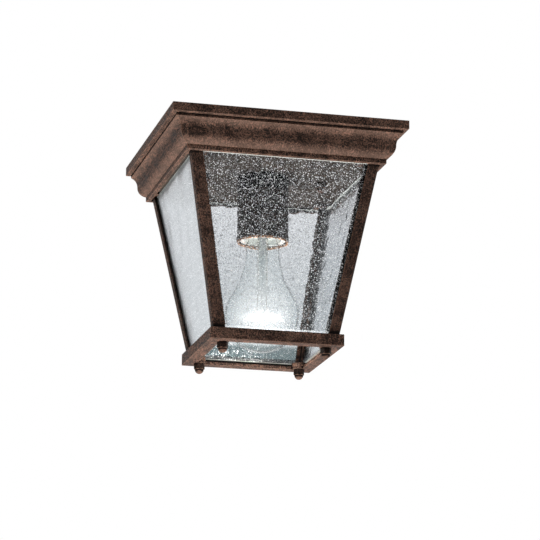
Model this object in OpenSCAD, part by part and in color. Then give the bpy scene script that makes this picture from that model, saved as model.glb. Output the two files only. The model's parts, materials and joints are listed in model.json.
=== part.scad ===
// Outdoor flush mount light: a square tapered lantern under a moulded canopy.
// The origin is the centre of the ceiling plane. +Z points up into the ceiling, the front is -Y.

/* [Canopy] */
// Width of the square canopy at the ceiling
canopy_w = 235; // [225:1:260]
// Height of the whole canopy
canopy_h = 40.3; // [38:0.1:50]
// Height of the upright fascia at the ceiling
fascia_h = 8.8; // [6:0.1:11]
// Step in under the fascia
fascia_lip = 4.6; // [3:0.1:6]
// Height of the upright between the fascia and the ogee
upright_h = 3.1; // [1:0.1:5]
// Step in from the fascia's face to the ogee's waist
waist_in = 10.3; // [8:0.1:13]
// Depth of the ogee's waist below the ceiling
waist_drop = 23.5; // [19:0.1:26]
// Step in from the fascia's face to the band's face
band_in = 18; // [16:0.1:19]
// Height of the plain band at the canopy's lower edge
band_h = 5; // [3:0.1:7]
// Thickness of the canopy's casting
canopy_wall = 3; // [2:0.1:3.6]
// Width of the rail inside the band that the pan is pulled up against
canopy_ledge_w = 6; // [4:0.1:12]
// Radius of the canopy's eased edges
canopy_edge_r = 0.8; // [0.3:0.1:1.2]

/* [Pan] */
// Thickness of the pan
pan_t = 2.5; // [1.5:0.1:3]
// Height of the pan's underside above the canopy's lower edge
pan_recess = 5.3; // [4:0.1:7]
// Gap between the pan's edge and the band
pan_gap = 0.3; // [0.1:0.05:0.8]
// Gap between the posts' outer faces and the band
post_gap = 0.3; // [0.1:0.05:1]

/* [Posts] */
// Step in from the band's face to the posts' outer faces, at the canopy's lower edge
post_inset = 5.5; // [5:0.1:9]
// Height of the glazed body between the canopy and the ring
body_h = 165.1; // [155:0.1:220]
// Width of each leg of a post
post_leg = 11.4; // [8:0.1:15]
// Thickness of a post's legs
post_wall = 2.3; // [1.5:0.1:3]
// Thickness of the lips behind the panes
lip_t = 2; // [1:0.1:3]
// Reach of the lips past the legs
lip_reach = 2.4; // [0.5:0.1:4]
// Radius of a post's outer corner
post_corner_r = 3; // [1:0.1:4]
// Size of the square tab at a post's head
tab_w = 18; // [16:0.1:22]
// Thickness of the tab
tab_t = 2.8; // [2:0.1:4]
// Thickness of the foot
foot_t = 3.2; // [2:0.1:4]

/* [Bottom ring] */
// Outer width of the ring, which sets the posts' lower ends
ring_w = 133; // [110:0.5:160]
// Height of the ring
ring_h = 11.5; // [9:0.1:16]
// Thickness of the ring's upright wall
ring_wall = 3.2; // [2:0.1:4.5]
// Gap between the posts' outer faces and the ring's wall
ring_gap = 0.5; // [0.2:0.05:1.5]
// Width of the ring's flat rail, seen from below
ring_rail_w = 12.3; // [11:0.1:16]
// Thickness of the rail
ring_rail_t = 2.9; // [2:0.1:4]
// Distance of the studs from the ring's outer faces
stud_in = 15.1; // [12:0.1:16]
// Diameter of the corner bosses and of the feet's rounded ends
boss_d = 12.4; // [11:0.1:16]
// Radius of the ring's upright corners
ring_corner_r = 2; // [0.5:0.1:3]
// Radius of the ring's long edges
ring_edge_r = 0.8; // [0.3:0.1:1.2]

/* [Glass] */
// Thickness of the panes
glass_t = 3; // [2:0.1:4]
// Play of the panes in the posts' grooves
glass_gap = 0.8; // [0.1:0.05:1.2]

/* [Domed nuts, studs and screws] */
// Width of a domed nut across its flats
nut_flats = 9.5; // [8:0.1:11]
// Height of a domed nut's hexagonal collar
nut_hex_h = 6.2; // [3:0.1:6.5]
// Height of a domed nut
nut_h = 10.7; // [9:0.1:13]
// Diameter of the ring's studs
stud_d = 4.2; // [3:0.1:5]
// Diameter of the long screws that hold the light up
strap_screw_d = 4.1; // [3:0.1:5]
// Distance between the two long screws
strap_screw_pitch = 120; // [118:1:132]
// Diameter of the screws in the posts' tabs
post_screw_d = 3.9; // [3:0.1:4.5]
// Diameter of the small screws' heads
screw_head_d = 7.6; // [6:0.1:8.5]
// Height of the small screws' heads
screw_head_h = 2.4; // [1.6:0.1:2.6]
// Gap between a small screw's head and the metal beside it
head_gap = 0.5; // [0.3:0.1:1]
// Radial play of a screw in a plain hole
screw_play = 0.4; // [0.2:0.05:0.8]
// Radial play of a screw in its tapped hole
thread_play = 0.05; // [0.02:0.01:0.1]

/* [Mounting strap] */
// Length of the strap
strap_l = 144; // [138:1:160]
// Width of the strap
strap_w = 22; // [16:0.5:26]
// Thickness of the strap
strap_t = 2; // [1.5:0.1:3]
// Drop of the strap's ends below its middle
strap_step = 4; // [3.5:0.1:6]
// Distance between the centres of the two slots for the outlet box
box_pitch = 88.9; // [84:0.1:90]
// Width of the slots
slot_w = 4.8; // [4:0.1:5.5]
// Length of the slots, end to end
slot_l = 12; // [8:0.5:14]
// Distance of the grounding screw from the strap's middle
ground_in = 22; // [14:0.5:28]

/* [Lamp holder] */
// Outer diameter of the cup
cup_d = 51; // [49:0.5:60]
// Height of the cup
cup_h = 67.5; // [64:0.5:80]
// Thickness of the cup's wall
cup_wall = 1.2; // [0.8:0.1:2]
// Height of the porcelain's lower face above the cup's rim
holder_inset = 3; // [1:0.1:6]
// Gap between the porcelain and the cup
holder_gap = 0.6; // [0.3:0.1:1.5]
// Diameter of the porcelain's upper part
holder_neck_d = 34; // [32:0.5:35]
// Height of the porcelain's wide skirt
holder_skirt_h = 29; // [24:0.5:34]
// Height of the whole porcelain
holder_h = 53; // [50:0.5:54]
// Inner diameter of the threaded shell, at its crests
socket_shell_d = 27.2; // [27:0.1:28]
// Thickness of the threaded shell
socket_shell_t = 0.6; // [0.4:0.1:0.9]
// Outer diameter of the hollow nipple
nipple_d = 10.2; // [9:0.1:11]
// Bore of the nipple
nipple_bore = 7; // [5:0.1:7.5]
// Width of the nipple's locknuts across their flats
locknut_flats = 14; // [13:0.5:16]
// Thickness of the locknuts
locknut_t = 2.6; // [2:0.1:2.8]

/* [Bulb] */
// Diameter of the bulb
bulb_d = 75; // [60:0.5:78]
// Length of the bulb from its contact to its lowest point
bulb_l = 147.7; // [140:0.5:155]
// Diameter of the bulb's neck
bulb_neck_d = 34; // [30:0.5:34.5]
// Radius of the sweep from neck to ball
bulb_flare_r = 80; // [50:1:100]
// Thickness of the bulb's glass
bulb_glass_t = 0.9; // [0.5:0.1:1.2]
// Diameter of the threaded base, over its crests
base_d = 26; // [25:0.1:26.2]
// Height of the threaded base's metal shell
base_shell_h = 24; // [21:0.5:25]
// Depth of the bulb's contact above the cup's rim
bulb_seat = 36.5; // [36:0.1:38]
// Half the span of the filament
filament_r = 15; // [9:0.5:18]
// Height of the filament above the bulb's lowest point
filament_up = 33.5; // [31:0.5:45]

/* [Hidden] */
$fn = 96;

bronze = [0.30, 0.22, 0.18];
zinc = [0.72, 0.72, 0.70];
steel = [0.55, 0.55, 0.56];
brass = [0.78, 0.62, 0.32];
porcelain = [0.93, 0.92, 0.88];
seeded_glass = [0.80, 0.86, 0.88, 0.35];
bulb_glass = [0.92, 0.94, 0.96, 0.25];

// Steps along the ogee's two arcs, and along an eased edge
arc_steps = 12;
edge_steps = 4;
// Overshoot of a cut past the face that it opens
over = 1;

// Canopy, worked out from its outline
canopy_half = canopy_w / 2;
upright_half = canopy_half - fascia_lip;
waist_half = canopy_half - waist_in;
band_half = canopy_half - band_in;
upright_foot = fascia_h + upright_h;
band_top = canopy_h - band_h;
cove_dx = waist_in - fascia_lip;
cove_dz = waist_drop - upright_foot;
cove_r = (cove_dx * cove_dx + cove_dz * cove_dz) / (2 * cove_dx);
ovolo_dx = band_in - waist_in;
ovolo_dz = band_top - waist_drop;
ovolo_r = (ovolo_dx * ovolo_dx + ovolo_dz * ovolo_dz) / (2 * ovolo_dx);
cove_x = waist_half + cove_r;
ovolo_x = waist_half - ovolo_r;

// Thickness of the canopy's rim, where it meets the ceiling
rim_t = canopy_wall + 1;

// Posts: their outer faces lean in towards the bottom
ring_top = -(canopy_h + body_h);
ring_bottom = ring_top - ring_h;
rail_top = ring_bottom + ring_rail_t;
posts_top_half = band_half - post_inset;
posts_bottom_half = ring_w / 2 - ring_wall - ring_gap;
lean = (posts_top_half - posts_bottom_half) / body_h;
function post_half(z) = posts_bottom_half + (z - ring_top) * lean;
pan_bottom = -(canopy_h - pan_recess);
pan_top = pan_bottom + pan_t;
ledge_top = pan_top + canopy_wall;
band_inner = post_half(pan_bottom) + post_gap;
foot_top = rail_top + foot_t;

// Bottom ring, around the posts' lower ends
ring_half = ring_w / 2;
rail_half = ring_half - ring_rail_w;
stud_at = ring_half - stud_in;

// Panes stand in grooves between the posts' legs and lips, from the feet up to the tabs
glass_top = pan_bottom - tab_t - glass_gap;
glass_bottom = foot_top;
glass_level_t = glass_t * sqrt(1 + lean * lean);
function glass_face(z) = post_half(z) - post_wall - glass_gap;
function glass_back_face(z) = glass_face(z) - glass_level_t;

// Depths of the lips' outer and inner faces, and of the panes' upright edges, under a post's outer faces
lip_out = post_wall + glass_level_t + 2 * glass_gap;
lip_in = lip_out + lip_t;
pane_in = lip_in + glass_gap;

// Nuts and screws
nut_r = nut_flats / 2;
nut_cap_t = 3;
nut_thread_h = nut_h - nut_cap_t;
nut_dome_share = 0.94;
thread_end_gap = 1;
small_nut_t = 3.2;
stud_reach = 0.8;
stud_top = foot_top + stud_reach;
post_screw_reach = 1;
hex_ease = 0.6;
strap_end_z = -strap_step - strap_t;
strap_screw_at = strap_screw_pitch / 2;
screw_head_r = screw_head_d / 2;
tab_screw_at = band_inner - canopy_ledge_w - screw_head_r - head_gap;

// Mounting strap: its ends begin beside the long screws' heads
strap_end_half = strap_screw_at - screw_head_r - head_gap;
strap_flat_half = strap_end_half - strap_step;

// Lamp holder
cup_top = pan_bottom;
cup_rim = cup_top - cup_h;
cup_bore_r = cup_d / 2 - cup_wall;
holder_r = cup_bore_r - holder_gap;
holder_bottom = cup_rim + holder_inset;
holder_top = holder_bottom + holder_h;
holder_shoulder = holder_bottom + holder_skirt_h;
shell_bore_r = socket_shell_d / 2;
shell_r = shell_bore_r + socket_shell_t;
mouth_play = 1.4;
mouth_r = bulb_neck_d / 2 + mouth_play;
mouth_h = 6.5;
nipple_reach = 1.5;
nipple_grip = 6;
nipple_top = pan_top + locknut_t + nipple_reach;
nipple_bottom = holder_top - nipple_grip;
terminal_x = (holder_neck_d / 2 + holder_r) / 2;
terminal_head_r = 2.6;
terminal_head_h = 1.8;
terminal_shank_r = 1.4;
terminal_shank_l = 5;
terminal_hole_l = 6;
press_fit_gap = 0.05;

// Bulb
bulb_tip = cup_rim + bulb_seat;
bulb_bottom = bulb_tip - bulb_l;
ball_r = bulb_d / 2;
ball_z = bulb_bottom + ball_r;
neck_r = bulb_neck_d / 2;
flare_x = neck_r + bulb_flare_r;
flare_z = ball_z + sqrt(pow(ball_r + bulb_flare_r, 2) - flare_x * flare_x);
base_r = base_d / 2;
base_wall = 0.4;
cement_gap = 0.2;
contact_h = 1.3;
contact_r = 4.2;
insulator_h = 1.8;
insulator_r = 9;
shoulder_h = 2;
shell_top = bulb_tip - contact_h - insulator_h;
shell_shoulder = shell_top - shoulder_h;
base_bottom = shell_top - base_shell_h;
root_r = base_r - base_wall - cement_gap;
root_h = 5;
root_lead = 1;
root_top = base_bottom + root_h;
collar_h = 11;
collar_z = base_bottom - collar_h;

// Leaf that presses on the bulb's contact, in a well above the threaded shell
well_r = 8.5;
well_h = 4.5;
well_top = bulb_tip + well_h;
leaf_l = 14;
leaf_w = 6;
leaf_t = 0.8;
leaf_gap = 0.3;
rivet_r = 1.5;
rivet_l = 3.6;
rivet_collar_r = 2.4;

// Stem inside the bulb
stem_r = 5.5;
stem_wall = 1.1;
stem_top = root_top;
stem_flare_h = 9;
stem_flare_r = root_r - bulb_glass_t - press_fit_gap;
filament_z = bulb_bottom + filament_up;
press_h = 9;
press_w = 13;
press_t = 4.4;
lead_drop = 25;
press_bottom = filament_z + lead_drop;
press_top = press_bottom + press_h;
button_rise = 7;
button_z = filament_z + button_rise;
button_r = 2.4;
arbor_r = 1.4;
lead_r = 0.45;
support_r = 0.25;
filament_wire_r = 0.6;
lead_x = 4;
lead_spread = 1.5;
wire_gap = 0.1;

// Points along an arc about (cx, cz), from angle a0 to angle a1
function arc(cx, cz, r, a0, a1, steps) =
    [for (i = [0:steps]) let (a = a0 + (a1 - a0) * i / steps) [cx + r * cos(a), cz + r * sin(a)]];

// The outline's right side, followed by its mirror image in reverse
function both_sides(right) =
    concat(right, [for (i = [len(right) - 1:-1:0]) [-right[i][0], right[i][1]]]);

// Solid whose outline is the children's outline seen from the front and from the side
module four_sided(w) {
    intersection() {
        rotate([90, 0, 0])
            linear_extrude(w, center = true)
                children();
        rotate([90, 0, 90])
            linear_extrude(w, center = true)
                children();
    }
}

// Square box from z0 up to z1, with rounded upright corners where r is given
module block(half, z0, z1, r = 0) {
    translate([0, 0, z0])
        linear_extrude(z1 - z0)
            if (r > 0) {
                square([2 * half, 2 * (half - r)], center = true);
                square([2 * (half - r), 2 * half], center = true);
                for (x = [-1, 1], y = [-1, 1])
                    translate([x * (half - r), y * (half - r)])
                        circle(r);
            } else
                square(2 * half, center = true);
}

// Straight round rod between two points
module rod(a, b, r) {
    d = b - a;
    l = norm(d);
    translate(a)
        rotate([0, acos(d[2] / l), atan2(d[1], d[0])])
            cylinder(h = l, r = r);
}

// The children at the four corners (at, at)
module at_corners(at) {
    for (x = [-1, 1], y = [-1, 1])
        translate([x * at, y * at, 0])
            children();
}

// The children at the two long screws
module at_strap_screws() {
    for (x = [-1, 1])
        translate([x * strap_screw_at, 0, 0])
            children();
}

// Hexagonal prism with its corners eased by a cone at each end, from z0 up to z1
module hexagon(flats, z0, z1) {
    corner_r = flats / 2 / cos(30);
    ease = corner_r - flats / 2;
    intersection() {
        translate([0, 0, z0])
            cylinder(h = z1 - z0, r = corner_r, $fn = 6);
        rotate_extrude()
            polygon([
                [0, z0], [flats / 2, z0], [corner_r, z0 + ease * hex_ease],
                [corner_r, z1 - ease * hex_ease], [flats / 2, z1], [0, z1]
            ]);
    }
}

// Domed nut under the plane z, closed at its lower end
module domed_nut(z, bore_d) {
    dome_r = nut_r * nut_dome_share;
    dome_z = z - nut_h + dome_r;
    difference() {
        union() {
            hexagon(nut_flats, z - nut_hex_h, z);
            translate([0, 0, dome_z])
                cylinder(h = z - nut_hex_h + over - dome_z, r = dome_r);
            intersection() {
                translate([0, 0, dome_z])
                    sphere(dome_r);
                translate([0, 0, dome_z - dome_r])
                    cylinder(h = dome_r, r = dome_r + over);
            }
        }
        translate([0, 0, z - nut_thread_h])
            cylinder(h = nut_thread_h + over, r = bore_d / 2 + thread_play);
    }
}

// Round slotted screw head that stands on the plane z
module screw_head(z, r, h) {
    slot_half = r * 0.13;
    slot_depth = h / 2;
    round_r = h * 0.55;
    difference() {
        rotate_extrude()
            polygon(concat(
                [[0, z], [r, z]],
                arc(r - round_r, z + h - round_r, round_r, 0, 90, edge_steps),
                [[0, z + h]]
            ));
        translate([-r - over, -slot_half, z + h - slot_depth])
            cube([2 * (r + over), 2 * slot_half, h]);
    }
}

// Outline of the canopy's outside
module canopy_outline() {
    cove_a = 180 - asin(cove_dz / cove_r);
    ovolo_a = asin(ovolo_dz / ovolo_r);
    e = canopy_edge_r;
    polygon(both_sides(concat(
        [[canopy_half, 0]],
        arc(canopy_half - e, -fascia_h + e, e, 0, -90, edge_steps),
        [[upright_half, -fascia_h]],
        arc(cove_x, -waist_drop, cove_r, cove_a, 180, arc_steps),
        arc(ovolo_x, -waist_drop, ovolo_r, 0, -ovolo_a, arc_steps),
        arc(band_half - e, -canopy_h + e, e, 0, -90, edge_steps)
    )));
}

// Outline of the hollow above the canopy's inner rail
module canopy_hollow_outline() {
    inner_cove_r = cove_r + canopy_wall;
    inner_ovolo_r = ovolo_r - canopy_wall;
    start_a = 180 - acos((cove_x - upright_half + canopy_wall) / inner_cove_r);
    end_a = asin((-ledge_top - waist_drop) / inner_ovolo_r);
    rim_inner = canopy_half - rim_t;
    roof_z = canopy_wall - fascia_h;
    polygon(both_sides(concat(
        [[rim_inner, over], [rim_inner, roof_z], [upright_half - canopy_wall, roof_z]],
        arc(cove_x, -waist_drop, inner_cove_r, start_a, 180, arc_steps),
        arc(ovolo_x, -waist_drop, inner_ovolo_r, 0, -end_a, arc_steps)
    )));
}

module canopy() {
    color(bronze)
        difference() {
            four_sided(canopy_w + 2 * over)
                canopy_outline();
            four_sided(canopy_w + 2 * over)
                canopy_hollow_outline();
            block(band_inner - canopy_ledge_w, -canopy_h, 0);
            block(band_inner, -canopy_h - over, pan_top);
        }
}

module pan() {
    color(bronze)
        difference() {
            block(band_inner - pan_gap, pan_bottom, pan_top);
            translate([0, 0, pan_bottom - over])
                cylinder(h = pan_t + 2 * over, r = nipple_d / 2 + screw_play);
            at_strap_screws()
                translate([0, 0, pan_bottom - over])
                    cylinder(h = pan_t + 2 * over, r = strap_screw_d / 2 + screw_play);
            at_corners(tab_screw_at)
                translate([0, 0, pan_bottom - over])
                    cylinder(h = pan_t + 2 * over, r = post_screw_d / 2 + screw_play);
        }
}

// Offset crossbar: its ends drop so that the long screws' heads stay under the ceiling
module mounting_strap() {
    right_top = [[strap_flat_half, 0], [strap_end_half, -strap_step], [strap_l / 2, -strap_step]];
    right_under = [for (i = [len(right_top) - 1:-1:0]) right_top[i] - [0, strap_t]];
    color(zinc)
        difference() {
            rotate([90, 0, 0])
                linear_extrude(strap_w, center = true)
                    polygon(both_sides(concat(right_top, right_under)));
            for (x = [-1, 1])
                translate([x * box_pitch / 2, 0, -strap_t - over])
                    linear_extrude(strap_t + 2 * over) {
                        square([slot_l - slot_w, slot_w], center = true);
                        for (end = [-1, 1])
                            translate([end * (slot_l - slot_w) / 2, 0])
                                circle(slot_w / 2);
                    }
            at_strap_screws()
                translate([0, 0, strap_end_z - over])
                    cylinder(h = strap_t + 2 * over, r = strap_screw_d / 2 + thread_play);
            translate([ground_in, 0, -strap_t - over])
                cylinder(h = strap_t + 2 * over, r = strap_screw_d / 2 + thread_play);
        }
}

module strap_screws() {
    screw_end = pan_bottom - nut_thread_h + thread_end_gap;
    color(zinc)
        at_strap_screws() {
            screw_head(-strap_step, screw_head_r, screw_head_h);
            translate([0, 0, screw_end])
                cylinder(h = -strap_step - screw_end, r = strap_screw_d / 2);
        }
}

module strap_locknuts() {
    color(zinc)
        at_strap_screws()
            difference() {
                hexagon(nut_flats, strap_end_z - small_nut_t, strap_end_z);
                translate([0, 0, strap_end_z - small_nut_t - over])
                    cylinder(h = small_nut_t + 2 * over, r = strap_screw_d / 2 + thread_play);
            }
}

module canopy_cap_nuts() {
    color(bronze)
        at_strap_screws()
            domed_nut(pan_bottom, strap_screw_d);
}

// Its head is under the strap, where the grounding wire is clamped
module ground_screw() {
    color("seagreen")
        translate([ground_in, 0, 0]) {
            mirror([0, 0, 1])
                screw_head(strap_t, screw_head_r, screw_head_h);
            translate([0, 0, -strap_t])
                cylinder(h = strap_t, r = strap_screw_d / 2);
        }
}

// Section of a post whose outer corner is at (c, c): its legs, its lips and the web between them
module post_section(c) {
    lip_end = c - post_leg - lip_reach;
    difference() {
        union() {
            translate([c - post_leg, c - post_leg])
                square([post_leg, post_leg - post_corner_r]);
            translate([c - post_leg, c - post_leg])
                square([post_leg - post_corner_r, post_leg]);
            translate([c - post_corner_r, c - post_corner_r])
                circle(post_corner_r);
        }
        translate([c - post_leg - over, c - post_leg - over])
            square(post_leg + over - post_wall);
    }
    difference() {
        translate([lip_end, lip_end])
            square(c - lip_out - lip_end);
        translate([lip_end - over, lip_end - over])
            square(c - lip_in - lip_end + over);
    }
    translate([c - lip_in, c - lip_in])
        square(lip_in - post_wall);
}

// Post at the corner (+x, +y): a leaning angle with grooves for two panes, a tab at its head and a foot
module post() {
    tab_outer = post_half(pan_bottom - tab_t) - post_wall / 2;
    foot_outer = post_half(rail_top) - post_wall / 2;
    boss_r = boss_d / 2;
    color(bronze)
        difference() {
            union() {
                multmatrix([[1, 0, lean, 0], [0, 1, lean, 0], [0, 0, 1, 0], [0, 0, 0, 1]])
                    translate([0, 0, rail_top])
                        linear_extrude(pan_bottom - rail_top)
                            post_section(post_half(0));
                translate([tab_outer, tab_outer, pan_bottom - tab_t])
                    mirror([1, 1, 0])
                        cube([tab_w, tab_w, tab_t]);
                translate([0, 0, rail_top])
                    linear_extrude(foot_t) {
                        translate([stud_at - boss_r, stud_at])
                            square([foot_outer - stud_at + boss_r, foot_outer - stud_at]);
                        translate([stud_at, stud_at - boss_r])
                            square([foot_outer - stud_at, foot_outer - stud_at + boss_r]);
                        translate([stud_at, stud_at])
                            circle(boss_r);
                    }
            }
            translate([tab_screw_at, tab_screw_at, pan_bottom - tab_t - post_screw_reach - over])
                cylinder(h = tab_t + post_screw_reach + 2 * over, r = post_screw_d / 2 + thread_play);
            translate([stud_at, stud_at, rail_top - over])
                cylinder(h = foot_t + stud_reach + 2 * over, r = stud_d / 2 + thread_play);
        }
}

module post_back_right() {
    post();
}

module post_back_left() {
    rotate(90)
        post();
}

module post_front_left() {
    rotate(180)
        post();
}

module post_front_right() {
    rotate(270)
        post();
}

module post_screws() {
    shank = pan_t + tab_t + post_screw_reach;
    color(zinc)
        at_corners(tab_screw_at) {
            screw_head(pan_top, screw_head_r, screw_head_h);
            translate([0, 0, pan_top - shank])
                cylinder(h = shank, r = post_screw_d / 2);
        }
}

// Square ring with an upright wall, a flat rail and a boss in each corner
module bottom_ring() {
    e = ring_edge_r;
    color(bronze)
        difference() {
            intersection() {
                four_sided(2 * (ring_half + over))
                    polygon(both_sides(concat(
                        arc(ring_half - e, ring_top - e, e, 90, 0, edge_steps),
                        arc(ring_half - e, ring_bottom + e, e, 0, -90, edge_steps)
                    )));
                block(ring_half, ring_bottom - over, ring_top + over, ring_corner_r);
            }
            block(ring_half - ring_wall, rail_top, ring_top + over);
            difference() {
                block(rail_half, ring_bottom - over, rail_top + over);
                at_corners(stud_at)
                    translate([0, 0, ring_bottom - 2 * over])
                        cylinder(h = ring_rail_t + 4 * over, r = boss_d / 2);
            }
            at_corners(stud_at)
                translate([0, 0, ring_bottom - over])
                    cylinder(h = ring_rail_t + 2 * over, r = stud_d / 2 + screw_play);
        }
}

module ring_studs() {
    stud_bottom = ring_bottom - nut_thread_h + thread_end_gap;
    color(zinc)
        at_corners(stud_at)
            translate([0, 0, stud_bottom])
                cylinder(h = stud_top - stud_bottom, r = stud_d / 2);
}

module ring_cap_nuts() {
    color(bronze)
        at_corners(stud_at)
            domed_nut(ring_bottom, stud_d);
}

// Pane on the +Y side, narrower towards the bottom
module pane() {
    color(seeded_glass)
        intersection() {
            rotate([90, 0, 90])
                linear_extrude(canopy_w, center = true)
                    polygon([
                        [glass_face(glass_top), glass_top], [glass_face(glass_bottom), glass_bottom],
                        [glass_back_face(glass_bottom), glass_bottom], [glass_back_face(glass_top), glass_top]
                    ]);
            rotate([90, 0, 0])
                linear_extrude(canopy_w, center = true)
                    polygon(both_sides([
                        [post_half(glass_top) - pane_in, glass_top],
                        [post_half(glass_bottom) - pane_in, glass_bottom]
                    ]));
        }
}

module glass_back() {
    pane();
}

module glass_front() {
    rotate(180)
        pane();
}

module glass_left() {
    rotate(90)
        pane();
}

module glass_right() {
    rotate(270)
        pane();
}

module socket_cup() {
    rim_bead = cup_wall * 0.4;
    color(bronze)
        rotate_extrude()
            polygon([
                [nipple_d / 2 + screw_play, cup_top], [cup_d / 2, cup_top],
                [cup_d / 2, cup_rim + rim_bead], [cup_d / 2 - rim_bead, cup_rim],
                [cup_bore_r, cup_rim], [cup_bore_r, cup_top - cup_wall],
                [nipple_d / 2 + screw_play, cup_top - cup_wall]
            ]);
}

// Porcelain lamp holder: a wide skirt round the bulb's base and a narrower head for the wires
module socket_body() {
    ease = 1.2;
    shell_hole_r = shell_r + press_fit_gap;
    nipple_hole_r = nipple_d / 2 + thread_play;
    color(porcelain)
        difference() {
            rotate_extrude()
                polygon([
                    [mouth_r, holder_bottom], [holder_r - ease, holder_bottom],
                    [holder_r, holder_bottom + ease], [holder_r, holder_shoulder - ease],
                    [holder_r - ease, holder_shoulder],
                    [holder_neck_d / 2, holder_shoulder], [holder_neck_d / 2, holder_top - ease],
                    [holder_neck_d / 2 - ease, holder_top], [nipple_hole_r, holder_top],
                    [nipple_hole_r, nipple_bottom], [0, nipple_bottom], [0, well_top],
                    [well_r, well_top], [well_r, bulb_tip + press_fit_gap],
                    [shell_hole_r, bulb_tip + press_fit_gap],
                    [shell_hole_r, holder_bottom + mouth_h], [mouth_r, holder_bottom + mouth_h]
                ]);
            translate([0, 0, well_top - over])
                cylinder(h = rivet_l + 2 * over, r = rivet_r + thread_play);
            for (x = [-1, 1])
                translate([x * terminal_x, 0, holder_shoulder - terminal_hole_l])
                    cylinder(h = terminal_hole_l + over, r = terminal_shank_r + thread_play);
        }
}

module socket_shell() {
    shell_lip_r = insulator_r + 1;
    color(brass)
        rotate_extrude()
            polygon([
                [shell_r, bulb_tip], [shell_r, holder_bottom + mouth_h],
                [shell_bore_r, holder_bottom + mouth_h], [shell_bore_r, bulb_tip - socket_shell_t],
                [shell_lip_r, bulb_tip - socket_shell_t], [shell_lip_r, bulb_tip]
            ]);
}

// Leaf over the bulb's contact, held by a rivet in the porcelain
module socket_contact() {
    leaf_z = bulb_tip + leaf_gap;
    color(brass) {
        translate([-leaf_l / 2, -leaf_w / 2, leaf_z])
            cube([leaf_l, leaf_w, leaf_t]);
        translate([0, 0, leaf_z + leaf_t])
            cylinder(h = well_top - leaf_z - leaf_t, r = rivet_collar_r);
        translate([0, 0, well_top])
            cylinder(h = rivet_l, r = rivet_r);
    }
}

module socket_terminal_screws() {
    color(brass)
        for (x = [-1, 1])
            translate([x * terminal_x, 0, 0]) {
                screw_head(holder_shoulder, terminal_head_r, terminal_head_h);
                translate([0, 0, holder_shoulder - terminal_shank_l])
                    cylinder(h = terminal_shank_l, r = terminal_shank_r);
            }
}

// Hollow threaded tube: it holds the cup and the lamp holder, and the wires pass through it
module socket_nipple() {
    color(zinc)
        difference() {
            translate([0, 0, nipple_bottom])
                cylinder(h = nipple_top - nipple_bottom, r = nipple_d / 2);
            translate([0, 0, nipple_bottom - over])
                cylinder(h = nipple_top - nipple_bottom + 2 * over, r = nipple_bore / 2);
        }
}

// One nut above the pan, one under the cup's top and one on the lamp holder
module nipple_locknuts() {
    color(zinc)
        for (z = [pan_top, cup_top - cup_wall - locknut_t, holder_top])
            difference() {
                hexagon(locknut_flats, z, z + locknut_t);
                translate([0, 0, z - over])
                    cylinder(h = locknut_t + 2 * over, r = nipple_d / 2 + thread_play);
            }
}

// Half section of the bulb's glass, inset from its outside
module bulb_half_section(inset) {
    join = (ball_r - inset) / (ball_r + bulb_flare_r);
    join_x = flare_x * join;
    join_z = ball_z + (flare_z - ball_z) * join;
    intersection() {
        union() {
            translate([0, ball_z])
                circle(ball_r - inset);
            difference() {
                translate([0, join_z - over])
                    square([join_x, flare_z - join_z + over]);
                translate([flare_x, flare_z])
                    circle(bulb_flare_r + inset);
            }
            polygon([
                [0, flare_z - over], [neck_r - inset, flare_z - over], [neck_r - inset, collar_z],
                [root_r - inset, base_bottom - root_lead], [root_r - inset, root_top], [0, root_top]
            ]);
        }
        translate([0, bulb_bottom])
            square([bulb_d, bulb_l]);
    }
}

module bulb_envelope() {
    color(bulb_glass)
        rotate_extrude()
            difference() {
                bulb_half_section(0);
                bulb_half_section(bulb_glass_t);
            }
}

// Flared tube, pinched flat round the lead wires, then a rod that ends in a button
module bulb_stem() {
    color(bulb_glass) {
        rotate_extrude()
            polygon([
                [stem_flare_r, stem_top], [stem_flare_r, stem_top - stem_wall],
                [stem_r, stem_top - stem_flare_h], [stem_r, press_top - over],
                [stem_r - stem_wall, press_top - over],
                [stem_r - stem_wall, stem_top - stem_flare_h + stem_wall],
                [stem_flare_r - stem_wall, stem_top]
            ]);
        translate([-press_w / 2, -press_t / 2, press_bottom])
            cube([press_w, press_t, press_h]);
        rod([0, 0, press_bottom + over], [0, 0, button_z], arbor_r);
        translate([0, 0, button_z])
            sphere(button_r);
    }
}

// Place along the filament's arc at share t of its length
function filament_point(t) = [filament_r * cos(180 * t), -filament_r * sin(180 * t), filament_z];

module bulb_support_wires() {
    bow_z = press_bottom - lead_drop * 0.6;
    bow_x = lead_x + lead_spread;
    tip = filament_wire_r + wire_gap;
    color(steel) {
        for (x = [-1, 1]) {
            rod([x * lead_x, 0, press_bottom - wire_gap], [x * bow_x, 0, bow_z], lead_r);
            translate([x * bow_x, 0, bow_z])
                sphere(lead_r);
            rod([x * bow_x, 0, bow_z], [x * filament_r, 0, filament_z + tip], lead_r);
        }
        for (t = [0.25, 0.5, 0.75]) {
            p = filament_point(t);
            from = [p[0], p[1], 0] * (button_r + wire_gap) / filament_r + [0, 0, button_z];
            rod(from, p + [0, 0, tip], support_r);
        }
    }
}

module bulb_filament() {
    color("orange")
        translate([0, 0, filament_z])
            rotate(180)
                rotate_extrude(angle = 180)
                    translate([filament_r, 0])
                        circle(filament_wire_r);
}

module bulb_screw_shell() {
    inner_shoulder = shell_shoulder - 0.1;
    color(brass)
        rotate_extrude()
            polygon([
                [base_r, base_bottom], [base_r, shell_shoulder], [insulator_r + base_wall, shell_top],
                [insulator_r, shell_top], [base_r - base_wall, inner_shoulder],
                [base_r - base_wall, base_bottom]
            ]);
}

module bulb_insulator() {
    top_r = contact_r + 1;
    color("dimgray")
        rotate_extrude()
            polygon([
                [0, shell_top], [insulator_r, shell_top], [top_r, shell_top + insulator_h],
                [0, shell_top + insulator_h]
            ]);
}

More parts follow.
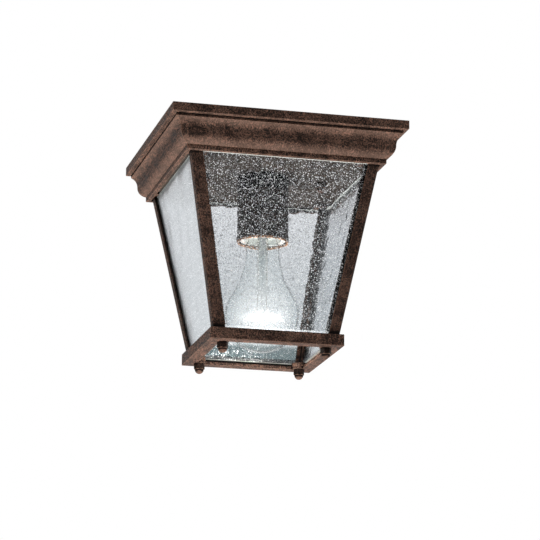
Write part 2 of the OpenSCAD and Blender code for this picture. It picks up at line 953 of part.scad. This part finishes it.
module bulb_contact() {
    crown_h = 0.4;
    crown_r = contact_r * 0.85;
    flat_r = contact_r / 2;
    color(zinc)
        rotate_extrude()
            polygon([
                [0, bulb_tip - contact_h], [contact_r, bulb_tip - contact_h],
                [crown_r, bulb_tip - crown_h], [flat_r, bulb_tip], [0, bulb_tip]
            ]);
}

canopy();
pan();
mounting_strap();
strap_screws();
strap_locknuts();
canopy_cap_nuts();
ground_screw();
post_front_left();
post_front_right();
post_back_left();
post_back_right();
post_screws();
bottom_ring();
ring_studs();
ring_cap_nuts();
glass_front();
glass_right();
glass_back();
glass_left();
socket_cup();
socket_body();
socket_shell();
socket_contact();
socket_terminal_screws();
socket_nipple();
nipple_locknuts();
bulb_envelope();
bulb_stem();
bulb_support_wires();
bulb_filament();
bulb_screw_shell();
bulb_insulator();
bulb_contact();
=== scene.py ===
"""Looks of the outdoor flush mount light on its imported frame: finishes, lamps, floor and camera."""

import json
import math

import bpy
from mathutils import Matrix, Vector


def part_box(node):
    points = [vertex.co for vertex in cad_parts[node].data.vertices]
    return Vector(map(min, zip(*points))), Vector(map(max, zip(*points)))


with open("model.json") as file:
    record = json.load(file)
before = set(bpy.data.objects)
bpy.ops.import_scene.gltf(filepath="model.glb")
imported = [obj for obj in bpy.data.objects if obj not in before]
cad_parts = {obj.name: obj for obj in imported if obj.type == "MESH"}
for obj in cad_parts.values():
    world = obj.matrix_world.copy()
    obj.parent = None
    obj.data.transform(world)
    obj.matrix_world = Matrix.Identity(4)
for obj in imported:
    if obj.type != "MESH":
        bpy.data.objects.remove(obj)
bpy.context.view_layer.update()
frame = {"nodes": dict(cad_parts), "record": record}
nodes = frame["nodes"]
MM = 0.001

# Heights on the light, from its solids; the four panes stand at one height
RING_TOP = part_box("bottom_ring")[1][2]
CUP_MOUTH, CUP_TOP = (corner[2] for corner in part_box("socket_cup"))
PANE_BOTTOM, PANE_TOP = (corner[2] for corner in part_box("glass_front"))

# Camera, fitted to the photograph's straight edges
CAMERA_AT = Vector((-0.60706, -2.47304, -0.77229))
CAMERA_FORWARD = Vector((0.233982, 0.940928, 0.244758))
CAMERA_ROLL = math.radians(0.42)
CAMERA_LENS = 176.21
CAMERA_SENSOR = 36.0
CAMERA_NEAR, CAMERA_FAR = 0.05, 50.0

# Room: the floor's glow is the share of plain white that the camera, mirrors and glass see in it
FLOOR_Z = -2.4
FLOOR_HALF = 6.0
FLOOR_GLOW = 0.6
WHITE = (1.0, 1.0, 1.0, 1.0)
AMBIENT = 0.28
AMBIENT_TINT = (1.0, 0.99, 0.97, 1.0)

# Lamp, far under the light and a little to its left and front
KEY_AT = (-0.42, -0.37, -2.22)
KEY_SIZE = 1.2
KEY_LEVEL = 1.08
KEY_TARGET = Vector((0.0, 0.0, -0.1))


# Node graphs

def new_material(name):
    """An empty material and its node tree."""
    material = bpy.data.materials.new(name)
    material.use_nodes = True
    material.node_tree.nodes.clear()
    return material


def add(material, kind, inputs=None, **settings):
    """A node of that kind, with its settings, and with its sockets set to a value or linked to another's output."""
    node = material.node_tree.nodes.new("ShaderNode" + kind)
    for key, value in settings.items():
        setattr(node, key, value)
    for key, value in (inputs or {}).items():
        if isinstance(value, bpy.types.NodeSocket):
            material.node_tree.links.new(value, node.inputs[key])
        else:
            node.inputs[key].default_value = value
    return node


def finish_with(material, surface):
    """The material with that shader as its surface."""
    add(material, "OutputMaterial", {"Surface": surface})
    return material


def painted(material, inputs):
    """The material with one principled shader."""
    return finish_with(material, add(material, "BsdfPrincipled", inputs).outputs[0])


def place(material):
    """The point on the object, in metres."""
    return add(material, "TexCoord").outputs["Object"]


def z_of(material, vector):
    """The vector's upward part."""
    return add(material, "SeparateXYZ", {0: vector}).outputs["Z"]


def noise(material, vector, scale, detail=2.0, roughness=0.5, distortion=0.0):
    """Noise with that many waves to the metre, round 0.5."""
    settings = {"Vector": vector, "Scale": scale, "Detail": detail, "Roughness": roughness, "Distortion": distortion}
    return add(material, "TexNoise", settings).outputs["Fac"]


def math_node(material, operation, a, b=0.0):
    """One step of arithmetic."""
    return add(material, "Math", {0: a, 1: b}, operation=operation).outputs[0]


def multiply(material, a, b):
    """The product of two masks."""
    return math_node(material, "MULTIPLY", a, b)


def highest(material, masks):
    """The highest of several masks."""
    top = masks[0]
    for mask in masks[1:]:
        top = math_node(material, "MAXIMUM", top, mask)
    return top


def moved(material, vector, step, reach):
    """The vector with the step, times the reach, added."""
    step = add(material, "VectorMath", {0: step, "Scale": reach}, operation="SCALE").outputs[0]
    return add(material, "VectorMath", {0: vector, 1: step}, operation="ADD").outputs[0]


def between(material, value, low, high, to_low=0.0, to_high=1.0):
    """The value stretched from low..high to to_low..to_high, smoothly and clamped."""
    inputs = {"Value": value, "From Min": low, "From Max": high, "To Min": to_low, "To Max": to_high}
    return add(material, "MapRange", inputs, interpolation_type="SMOOTHSTEP").outputs["Result"]


def blend(material, factor, first, second):
    """Mix of two colours. The node's sockets 0, 6, 7 and output 2 are those of its colour mode."""
    return add(material, "Mix", {0: factor, 6: first, 7: second}, data_type="RGBA").outputs[2]


def mix_shaders(material, factor, first, second):
    """Mix of two shaders."""
    return add(material, "MixShader", {0: factor, 1: first, 2: second}).outputs[0]


def bumped(material, height, depth, normal=None):
    """The surface's normal, or the one given, with a relief of that depth."""
    inputs = {"Height": height, "Strength": 1.0, "Distance": depth}
    if normal is not None:
        inputs["Normal"] = normal
    return add(material, "Bump", inputs).outputs[0]


def ray_is(material, *kinds):
    """1 on rays of one of those kinds, else 0."""
    path = add(material, "LightPath")
    return highest(material, [path.outputs[kind] for kind in kinds])


def rgb(red, green, blue):
    """Linear colour of an sRGB colour given in 0..255."""
    def linear(value):
        value /= 255
        return value / 12.92 if value <= 0.04045 else ((value + 0.055) / 1.055) ** 2.4
    return (linear(red), linear(green), linear(blue), 1.0)


# Paint of the cast parts: pairs of tones, and what lies over them, painted shade and painted highlights among it

BROWN = (rgb(44, 37, 33), rgb(88, 75, 67))
GREY = (rgb(50, 49, 46), rgb(76, 74, 68))
DARK_GREY = (rgb(40, 40, 38), rgb(62, 60, 57))
# Painted shade: black for recesses, flanks, the posts' feet and the cup's top
SHADE_BLACK = rgb(8, 7, 7)
DARK_STROKE = rgb(20, 16, 15)
DARK_GRAIN = rgb(18, 15, 14)
# Painted shade in the moulding's hollow
HOLLOW_SHADE = rgb(26, 20, 18)
RUST_STROKE = rgb(158, 116, 98)
RUST_GRAIN = rgb(152, 114, 99)
# Painted highlight on faces that look down, as if lit from below
PAINTED_UNDERLIGHT = rgb(158, 126, 110)
# Painted highlight along edges that don't look up
EDGE_HIGHLIGHT = rgb(186, 146, 122)
# Painted light of the bulb on the cup's lower lip
BULB_LIT_COPPER = rgb(226, 168, 128)

BEND_WAVES = 55.0
BEND_REACH = 0.016
STROKE_SIZE = (0.0009, 0.0095, 0.0012)
STROKE_TURNS = ((0.5, -0.6, 0.7), (-0.6, 0.5, -0.8))
EDGE_HIGHLIGHT_RADIUS = 0.8 * MM
# Reach of the painted shade in recesses, and heights of the painted shade at the posts' feet over the ring
RECESS_SHADE_REACH = 8.0 * MM
FOOT_SHADE_FROM, FOOT_SHADE_FULL, FOOT_SHADE_END = RING_TOP + 0.1 * MM, RING_TOP + 1.5 * MM, RING_TOP + 5.0 * MM
SHADE_SOFT = 1.5 * MM
LIT_LIP_SOFT = 0.5 * MM
PAINT_RELIEF = 0.12 * MM


def stroke_masks(m, at):
    """Masks of the light and the dark strokes: noise drawn out along two bent and crossing directions."""
    inputs = {"Vector": at, "Scale": BEND_WAVES, "Detail": 2.0, "Roughness": 0.6, "Distortion": 0.0}
    warp = add(m, "TexNoise", inputs).outputs["Color"]
    bend = add(m, "VectorMath", {0: warp, 1: (0.5, 0.5, 0.5)}, operation="SUBTRACT").outputs[0]
    bent = moved(m, at, bend, BEND_REACH)
    light, dark = [], []
    for turn in STROKE_TURNS:
        inputs = {"Vector": bent, "Rotation": turn, "Scale": tuple(1.0 / size for size in STROKE_SIZE)}
        line = noise(m, add(m, "Mapping", inputs).outputs[0], 1.0, roughness=0.6)
        light.append(between(m, line, 0.55, 0.61))
        dark.append(between(m, line, 0.36, 0.46, 1.0, 0.0))
    return highest(m, light), highest(m, dark)


def shaded_faces(m, paint, climb, down, wipe_and_shade, underside_highlight):
    """The paint, with painted shade in the moulding's hollow and a painted highlight of pale copper on faces that
    look down.
    """
    hollow_shade = multiply(m, between(m, climb, -0.45, -0.25), between(m, climb, -0.12, -0.04, 0.35, 0.0))
    paint = blend(m, multiply(m, hollow_shade, wipe_and_shade), paint, HOLLOW_SHADE)
    pale = between(m, climb, -0.97, -0.85, underside_highlight, 0.28 * wipe_and_shade)
    return blend(m, multiply(m, down, pale), paint, PAINTED_UNDERLIGHT)


def painted_edge_highlights(m, paint, normal, grain):
    """The paint, with a painted highlight of pale copper along the edges that don't look up."""
    rounded = add(m, "Bevel", {"Radius": EDGE_HIGHLIGHT_RADIUS}, samples=6).outputs[0]
    facing = add(m, "VectorMath", {0: rounded, 1: normal}, operation="DOT_PRODUCT").outputs["Value"]
    edge_highlight = between(m, facing, 0.90, 0.995, 0.8, 0.0)
    edge_highlight = multiply(m, edge_highlight, between(m, z_of(m, rounded), -0.30, 0.25, 1.0, 0.0))
    edge_highlight = multiply(m, edge_highlight, between(m, grain, 0.3, 0.6, 0.5, 1.0))
    return blend(m, edge_highlight, paint, EDGE_HIGHLIGHT)


def painted_recess_shade(m, paint, climb, height, flank_shade):
    """The paint with painted black shade on upright faces in recesses, close over the ring, and by a share on all.
    """
    open_air = add(m, "AmbientOcclusion", {"Distance": RECESS_SHADE_REACH}, samples=8).outputs["AO"]
    upright = between(m, math_node(m, "ABSOLUTE", climb), 0.30, 0.50, 1.0, 0.0)
    recess_shade = multiply(m, between(m, open_air, 0.60, 0.86, 0.95, 0.0), upright)
    paint = blend(m, highest(m, [recess_shade, multiply(m, upright, flank_shade)]), paint, SHADE_BLACK)
    # Painted shade at the posts' feet, on upright faces just over the ring
    foot_shade = between(m, height, FOOT_SHADE_FULL, FOOT_SHADE_END, 0.9, 0.0)
    foot_shade = multiply(m, foot_shade, math_node(m, "GREATER_THAN", height, FOOT_SHADE_FROM))
    return blend(m, multiply(m, foot_shade, upright), paint, SHADE_BLACK)


def bronze(name, tones, wipe_and_shade, flank_shade, underside_highlight=0.05, shade=None, lit_lip=None):
    """Dark paint in two tones, wiped with copper in crossing strokes, with painted highlights on lower edges and
    painted shade, black, in recesses and on flanks.

    Faces that look down take a given share of pale copper, a painted highlight. Above the height shade the paint is
    black, a painted shade; below the given lip height it is bright copper, painted light of the bulb.
    """
    m = new_material(name)
    at = place(m)
    height = z_of(m, at)
    normal = add(m, "NewGeometry").outputs["Normal"]
    climb = z_of(m, normal)
    down = between(m, climb, -0.75, -0.30, 1.0, 0.0)
    blotch = noise(m, at, 48.0, detail=6.0, roughness=0.62, distortion=0.8)
    grain = noise(m, at, 620.0, roughness=0.6, distortion=0.3)
    light, dark = stroke_masks(m, at)
    # Fewer dark strokes on faces that look down: painted light from below
    dark = multiply(m, dark, math_node(m, "SUBTRACT", 0.85, multiply(m, down, 0.35)))
    light = multiply(m, light, between(m, blotch, 0.36, 0.58, 0.30 * wipe_and_shade, 0.95 * wipe_and_shade))

    paint = blend(m, between(m, blotch, 0.40, 0.60), *tones)
    paint = blend(m, dark, paint, DARK_STROKE)
    paint = blend(m, light, paint, RUST_STROKE)
    paint = blend(m, between(m, grain, 0.56, 0.72, 0.0, 0.8 * wipe_and_shade), paint, RUST_GRAIN)
    paint = blend(m, between(m, grain, 0.30, 0.45, 0.8, 0.0), paint, DARK_GRAIN)
    paint = shaded_faces(m, paint, climb, down, wipe_and_shade, underside_highlight)
    paint = painted_edge_highlights(m, paint, normal, grain)
    paint = painted_recess_shade(m, paint, climb, height, flank_shade)
    # Painted shade: black above the given height
    if shade is not None:
        paint = blend(m, between(m, height, shade - SHADE_SOFT, shade + SHADE_SOFT), paint, SHADE_BLACK)
    # Painted light of the bulb: bright copper below the given height
    if lit_lip is not None:
        lip_light = between(m, height, lit_lip - LIT_LIP_SOFT, lit_lip, between(m, grain, 0.40, 0.55), 0.0)
        paint = blend(m, lip_light, paint, BULB_LIT_COPPER)

    relief = math_node(m, "ADD", multiply(m, grain, 0.5), multiply(m, light, 0.3))
    return painted(m, {
        "Base Color": paint, "Roughness": between(m, blotch, 0.3, 0.7, 0.5, 0.66), "Specular IOR Level": 0.05,
        "Normal": bumped(m, relief, PAINT_RELIEF),
    })


# Metal, porcelain and black glass

THREAD_PITCH = 25.4 / 7 * MM
THREAD_DEPTH = 0.35 * MM
METAL_RELIEF = 0.03 * MM


def darkened(colour, share):
    """The colour times that share."""
    return tuple(share * part for part in colour[:3]) + (1.0,)


def metal(name, colour, roughness, spread, grain_scale):
    """Bare or plated metal with fine grain."""
    m = new_material(name)
    at = place(m)
    grain = noise(m, at, grain_scale, detail=4.0, roughness=0.6)
    cloud = noise(m, at, 90.0, detail=3.0, roughness=0.6)
    return painted(m, {
        "Base Color": blend(m, between(m, cloud, 0.3, 0.7), darkened(colour, 0.68), colour), "Metallic": 1.0,
        "Roughness": between(m, grain, 0.3, 0.7, roughness - spread, roughness + spread),
        "Normal": bumped(m, grain, METAL_RELIEF),
    })


def threaded_metal(name, colour, pitch):
    """Rolled thread: a helical groove round the axis, darker in its bottom, a painted shade."""
    m = new_material(name)
    at = place(m)
    parts = add(m, "SeparateXYZ", {0: at})
    turn = math_node(m, "ARCTAN2", parts.outputs["Y"], parts.outputs["X"])
    turn = math_node(m, "DIVIDE", turn, 2 * math.pi)
    climb = math_node(m, "DIVIDE", parts.outputs["Z"], pitch)
    wave = math_node(m, "SINE", multiply(m, math_node(m, "SUBTRACT", climb, turn), 2 * math.pi))
    grain = noise(m, at, 700.0, detail=3.0, roughness=0.6)
    height = math_node(m, "ADD", wave, multiply(m, grain, 0.1))
    return painted(m, {
        "Base Color": blend(m, between(m, wave, -1.0, 0.4), darkened(colour, 0.6), colour), "Metallic": 1.0,
        "Roughness": 0.32, "Normal": bumped(m, height, THREAD_DEPTH),
    })


def green_paint():
    """Green of the grounding screw."""
    m = new_material("green_screw")
    grain = noise(m, place(m), 300.0, detail=3.0)
    return painted(m, {
        "Base Color": blend(m, between(m, grain, 0.3, 0.7), rgb(20, 92, 52), rgb(38, 128, 72)), "Roughness": 0.4,
        "Normal": bumped(m, grain, METAL_RELIEF),
    })


def glazed_porcelain():
    """White glaze with faint clouds and a few specks."""
    m = new_material("glazed_porcelain")
    at = place(m)
    cloud = noise(m, at, 60.0, detail=3.0)
    specks = noise(m, at, 900.0)
    body = blend(m, between(m, cloud, 0.3, 0.7), rgb(242, 240, 235), rgb(250, 249, 246))
    body = blend(m, between(m, specks, 0.72, 0.78, 0.0, 0.5), body, rgb(160, 150, 135))
    return painted(m, {
        "Base Color": body, "Roughness": 0.16, "Coat Weight": 0.5, "Coat Roughness": 0.08,
        "Normal": bumped(m, cloud, 0.10 * MM),
    })


def black_glass():
    """Opaque glass of the bulb's insulator."""
    m = new_material("black_glass")
    cloud = noise(m, place(m), 200.0, detail=3.0)
    return painted(m, {
        "Base Color": blend(m, between(m, cloud, 0.3, 0.7), rgb(18, 18, 22), rgb(44, 40, 48)), "Roughness": 0.12,
        "Normal": bumped(m, cloud, 0.05 * MM),
    })


# Panes: the tints are for one face that light crosses, on the back pane low down, on the others, and at the top.
# The darker tints low down, darkest at the back pane's foot, are painted shade.

PANE_FOOT_SHADE = (0.43, 0.49, 0.50, 1.0)
PANE_LOW = (0.885, 0.90, 0.91, 1.0)
PANE_HIGH = (0.965, 0.97, 0.98, 1.0)
PANE_SPECK = rgb(110, 116, 122)
FOOT_HEIGHT = 0.017
PANE_LIGHT = rgb(236, 240, 243)

# Light scattered by the seeds and, by the share of the veil, all over
SEED = (0.97, 0.985, 1.0, 1.0)
VEIL = 0.008

# White surroundings in the faces that are seen aslant, and their specks
FILM = (0.76, 0.79, 0.815, 1.0)
FILM_SPECK = rgb(120, 130, 138)
FILM_ROUGHNESS = 0.35

# Ground edges: pale where they look down and darker where they look up, painted light and shade; those that look
# down glow a little, a painted glow
EDGE_DOWN_LIT = (0.80, 0.81, 0.74, 1.0)
EDGE_UP_SHADED = rgb(150, 132, 116)
PAINTED_EDGE_GLOW = 0.45
EDGE_TILT = 0.7

# Seeds: cells to the metre, radius in cells, share of empty cells, strength
SEED_LAYERS = ((460.0, 0.27, 0.32, 1.0), (860.0, 0.30, 0.35, 0.65))
SEED_MILK = 0.15
FACES_APART = 0.37
WAVE_DEPTH = 2.2 * MM
RIPPLE_DEPTH = 0.06 * MM
HAZY_SHARE = 0.014
HAZY_ROUGHNESS = 0.4
HAZY_IOR = 1.5
FROST_RISE = 4.0 * MM
FROST_SOFT = 1.5 * MM


def lets_light_through(material, shader, colour):
    """The shader, clear to the rays that carry light and shadow through the glass."""
    clear = add(material, "BsdfTransparent", {"Color": colour}).outputs[0]
    return mix_shaders(material, ray_is(material, "Is Shadow Ray", "Is Diffuse Ray"), shader, clear)


def glass_shader(m, colour, normal, ior, roughness=0.0):
    """Glass that bends light."""
    return add(m, "BsdfGlass", {"Color": colour, "Roughness": roughness, "IOR": ior, "Normal": normal}).outputs[0]


def gloss(m, colour, normal, roughness):
    """Mirror, blurred by its roughness."""
    return add(m, "BsdfGlossy", {"Color": colour, "Roughness": roughness, "Normal": normal}).outputs[0]


def seed_mask(m, at):
    """Mask of the seeds, large and small."""
    layers = []
    for scale, radius, empty, strength in SEED_LAYERS:
        cells = add(m, "TexVoronoi", {"Vector": at, "Scale": scale, "Randomness": 1.0}, feature="F1")
        dot = between(m, cells.outputs["Distance"], 0.7 * radius, radius, 1.0, 0.0)
        chosen = add(m, "SeparateColor", {0: cells.outputs["Color"]}).outputs[0]
        dot = multiply(m, dot, math_node(m, "GREATER_THAN", chosen, empty))
        layers.append(multiply(m, dot, strength))
    return highest(m, layers)


def pane_tint(m, height, speck, foot):
    """Tint of a pane: darker low down and the foot's at the bottom, both painted shade, and grey in small specks."""
    foot_top = PANE_BOTTOM + FOOT_HEIGHT
    tint = blend(m, between(m, height, foot_top, PANE_TOP), PANE_LOW, PANE_HIGH)
    over_foot = between(m, height, PANE_BOTTOM + 0.8 * FOOT_HEIGHT, PANE_BOTTOM + 1.3 * FOOT_HEIGHT)
    tint = blend(m, over_foot, foot, tint)
    return blend(m, between(m, speck, 0.56, 0.68, 0.0, 0.45), tint, PANE_SPECK)


def ground_edge(m, tilt):
    """Matt edge of a pane: painted light, pale with a weak glow, where it looks down, painted shade where it looks
    up.
    """
    matt = blend(m, between(m, tilt, -0.5, 0.5), EDGE_DOWN_LIT, EDGE_UP_SHADED)
    ground = add(m, "BsdfDiffuse", {"Color": matt}).outputs[0]
    strength = between(m, tilt, -0.5, 0.5, PAINTED_EDGE_GLOW, 0.0)
    glow = add(m, "Emission", {"Color": EDGE_DOWN_LIT, "Strength": strength}).outputs[0]
    return add(m, "AddShader", {0: ground, 1: glow}).outputs[0]


def seeded_pane(name, foot, frosted, sheen, ior):
    """Clear hand-made glass full of small seeds, which catch the lamp's light.

    It has the tint foot low down, a painted shade where it is darker, its lower edge is frosted up to the height
    given, and sheen is the share of white surroundings that its rough faces mirror when they are seen aslant.
    """
    m = new_material(name)
    at = place(m)
    height = z_of(m, at)
    normal = add(m, "NewGeometry").outputs["True Normal"]
    tilt = z_of(m, normal)
    own = moved(m, at, normal, FACES_APART)
    wave = noise(m, own, 42.0, roughness=0.45)
    ripple = noise(m, own, 260.0)
    speck = noise(m, own, 1300.0, detail=1.0)
    relief = bumped(m, ripple, RIPPLE_DEPTH, bumped(m, wave, WAVE_DEPTH))
    slant = add(m, "LayerWeight", {"Blend": 0.5}).outputs["Facing"]

    tint = pane_tint(m, height, speck, foot)
    clear = glass_shader(m, tint, relief, ior)
    hazy = glass_shader(m, tint, relief, HAZY_IOR, HAZY_ROUGHNESS)
    milk = add(m, "BsdfTranslucent", {"Color": SEED}).outputs[0]
    glass = mix_shaders(m, HAZY_SHARE, clear, hazy)
    glass = mix_shaders(m, VEIL, glass, milk)

    film = blend(m, between(m, speck, 0.50, 0.64, 0.0, 0.5), FILM, FILM_SPECK)
    film = gloss(m, film, relief, FILM_ROUGHNESS)
    glass = mix_shaders(m, between(m, slant, 0.30, 0.72, 0.0, sheen), glass, film)

    frost = between(m, height, frosted - FROST_SOFT, frosted, 1.0, 0.0)
    frost = multiply(m, frost, between(m, speck, 0.45, 0.60, 0.05, 0.7))
    glass = mix_shaders(m, frost, glass, milk)

    glint = mix_shaders(m, SEED_MILK, gloss(m, SEED, relief, FILM_ROUGHNESS), milk)
    glass = mix_shaders(m, seed_mask(m, own), glass, glint)

    is_edge = math_node(m, "GREATER_THAN", math_node(m, "ABSOLUTE", tilt), EDGE_TILT)
    glass = mix_shaders(m, is_edge, glass, ground_edge(m, tilt))
    return finish_with(m, lets_light_through(m, glass, PANE_LIGHT))


# Bulb

BULB_LIGHT = rgb(248, 250, 250)
BULB_RELIEF = 0.12 * MM
SHINE_ROUGHNESS = 0.1
SHINE_CLEAR = 0.7
FILAMENT_GLOW = 520.0
FILAMENT_TONES = ((1.0, 0.93, 0.88, 1.0), (1.0, 0.96, 0.93, 1.0))


def thin_glass(name, tint, haze, ior):
    """Blown glass, thin enough to bend light only a little; its middle is hazy with the filament's light."""
    m = new_material(name)
    wave = noise(m, place(m), 70.0)
    relief = bumped(m, wave, BULB_RELIEF)
    slant = add(m, "LayerWeight", {"Blend": 0.5}).outputs["Facing"]
    milk = add(m, "BsdfTranslucent", {"Color": WHITE}).outputs[0]
    glass = mix_shaders(m, between(m, slant, 0.0, 0.60, haze, 0.0), glass_shader(m, tint, relief, ior), milk)
    see_through = add(m, "BsdfTransparent", {"Color": tint}).outputs[0]
    shine = mix_shaders(m, SHINE_CLEAR, gloss(m, WHITE, relief, SHINE_ROUGHNESS), see_through)
    glass = mix_shaders(m, between(m, slant, 0.60, 0.85), glass, shine)
    return finish_with(m, lets_light_through(m, glass, BULB_LIGHT))


def glowing_filament():
    """Coiled wire, white-hot."""
    m = new_material("lit_filament")
    coil = noise(m, place(m), 1500.0)
    colour = blend(m, between(m, coil, 0.3, 0.7), *FILAMENT_TONES)
    return painted(m, {
        "Base Color": colour, "Roughness": 0.5, "Emission Color": colour, "Emission Strength": FILAMENT_GLOW,
    })


# Finish of each slot, and of the nodes that have their own

FROSTED = PANE_BOTTOM + FROST_RISE
FINISHES = {
    "bronze": bronze("weathered_bronze", BROWN, wipe_and_shade=1.0, flank_shade=0.0),
    "zinc_steel": metal("zinc_plate", rgb(196, 196, 190), roughness=0.36, spread=0.10, grain_scale=500.0),
    "green_steel": green_paint(),
    "seeded_glass": seeded_pane("seeded_glass", PANE_LOW, FROSTED, sheen=0.75, ior=1.2),
    "porcelain": glazed_porcelain(),
    "brass": metal("plain_brass", rgb(214, 178, 104), roughness=0.30, spread=0.08, grain_scale=500.0),
    "bulb_glass": thin_glass("bulb_glass", rgb(252, 253, 253), haze=0.03, ior=1.08),
    "stem_glass": thin_glass("stem_glass", rgb(250, 249, 247), haze=0.5, ior=1.12),
    "wire": metal("drawn_wire", rgb(170, 168, 164), roughness=0.35, spread=0.08, grain_scale=900.0),
    "filament": glowing_filament(),
    "bulb_base": threaded_metal("rolled_base", rgb(214, 214, 214), THREAD_PITCH),
    "bulb_insulator": black_glass(),
    "solder": metal("dull_solder", rgb(168, 168, 172), roughness=0.5, spread=0.08, grain_scale=600.0),
}
# Nuts: their upright faces are painted black, a painted shade
NUT_FINISH = bronze("nut_bronze", BROWN, wipe_and_shade=1.0, flank_shade=0.8)
# Cup: painted shade, black, on its top band
CUP_SHADE = CUP_TOP - 16.0 * MM
# Cup: painted light of the bulb on its lower lip, and a painted highlight on its down-facing rim
CUP_LIT_LIP = CUP_MOUTH + 2.5 * MM
OWN_FINISH = {
    "ring_cap_nuts": NUT_FINISH,
    "canopy_cap_nuts": NUT_FINISH,
    "pan": bronze("pan_bronze", GREY, wipe_and_shade=0.2, flank_shade=0.0, underside_highlight=0.03),
    "socket_cup": bronze("cup_bronze", DARK_GREY, wipe_and_shade=0.2, flank_shade=0.0, underside_highlight=0.9, shade=CUP_SHADE, lit_lip=CUP_LIT_LIP),
    "glass_front": seeded_pane("front_glass", PANE_LOW, RING_TOP + FROST_RISE, sheen=0.75, ior=1.14),
    # Back pane: its foot tinted dark, a painted shade
    "glass_back": seeded_pane("back_glass", PANE_FOOT_SHADE, FROSTED, sheen=0.75, ior=1.2),
    "glass_right": seeded_pane("right_glass", PANE_LOW, FROSTED, sheen=0.2, ior=1.04),
}
for part in frame["record"]["subparts"]:
    mesh = nodes[part["node"]].data
    mesh.materials.clear()
    mesh.materials.append(OWN_FINISH.get(part["node"], FINISHES[part["material_slot"]]))


# Room, lamp and camera

def plain_floor():
    """Pale floor far under the light."""
    mesh = bpy.data.meshes.new("floor")
    corners = [(x * FLOOR_HALF, y * FLOOR_HALF, FLOOR_Z) for x, y in ((-1, -1), (1, -1), (1, 1), (-1, 1))]
    mesh.from_pydata(corners, [], [(0, 1, 2, 3)])
    floor = bpy.data.objects.new("floor", mesh)
    bpy.context.collection.objects.link(floor)
    m = new_material("pale_floor")
    cloud = noise(m, place(m), 0.8, detail=3.0)
    pale = blend(m, between(m, cloud, 0.3, 0.7), rgb(240, 240, 238), rgb(247, 247, 245))
    matt = add(m, "BsdfDiffuse", {"Color": pale}).outputs[0]
    white = add(m, "Emission", {"Color": WHITE, "Strength": 1.0}).outputs[0]
    seen = ray_is(m, "Is Camera Ray", "Is Glossy Ray", "Is Transmission Ray")
    mesh.materials.append(finish_with(m, mix_shaders(m, multiply(m, seen, FLOOR_GLOW), matt, white)))


def plain_world():
    """Soft light all round, with a white backdrop for the camera, mirrors and glass."""
    world = bpy.data.worlds.new("studio")
    bpy.context.scene.world = world
    world.use_nodes = True
    world.node_tree.nodes.clear()
    ambient = add(world, "Background", {"Color": AMBIENT_TINT, "Strength": AMBIENT}).outputs[0]
    backdrop = add(world, "Background", {"Color": WHITE, "Strength": 1.0}).outputs[0]
    seen = ray_is(world, "Is Camera Ray", "Is Glossy Ray", "Is Transmission Ray")
    add(world, "OutputWorld", {"Surface": mix_shaders(world, seen, ambient, backdrop)})


def soft_lamp(name, at, size, level):
    """Square lamp that faces the light; at level 1 a white card that faces it renders about white."""
    data = bpy.data.lights.new(name, "AREA")
    data.shape = "SQUARE"
    data.size = size
    away = KEY_TARGET - Vector(at)
    data.energy = level * math.pi ** 2 * away.length_squared
    lamp = bpy.data.objects.new(name, data)
    lamp.location = at
    lamp.rotation_mode = "QUATERNION"
    lamp.rotation_quaternion = away.to_track_quat("-Z", "Y")
    lamp.visible_camera = False
    lamp.visible_transmission = False
    bpy.context.collection.objects.link(lamp)


def add_camera():
    """The photograph's camera."""
    data = bpy.data.cameras.new("camera")
    data.lens = CAMERA_LENS
    data.sensor_width = CAMERA_SENSOR
    data.clip_start = CAMERA_NEAR
    data.clip_end = CAMERA_FAR
    camera = bpy.data.objects.new("camera", data)
    forward = CAMERA_FORWARD.normalized()
    right = forward.cross(Vector((0.0, 0.0, 1.0))).normalized()
    up = right.cross(forward)
    turned_right = right * math.cos(CAMERA_ROLL) + up * math.sin(CAMERA_ROLL)
    turned_up = up * math.cos(CAMERA_ROLL) - right * math.sin(CAMERA_ROLL)
    axes = Matrix((turned_right, turned_up, -forward)).transposed()
    camera.matrix_world = Matrix.Translation(CAMERA_AT) @ axes.to_4x4()
    bpy.context.collection.objects.link(camera)
    bpy.context.scene.camera = camera


plain_floor()
plain_world()
soft_lamp("key_from_lower_left", KEY_AT, KEY_SIZE, KEY_LEVEL)
add_camera()
bpy.context.scene.view_settings.view_transform = "Standard"
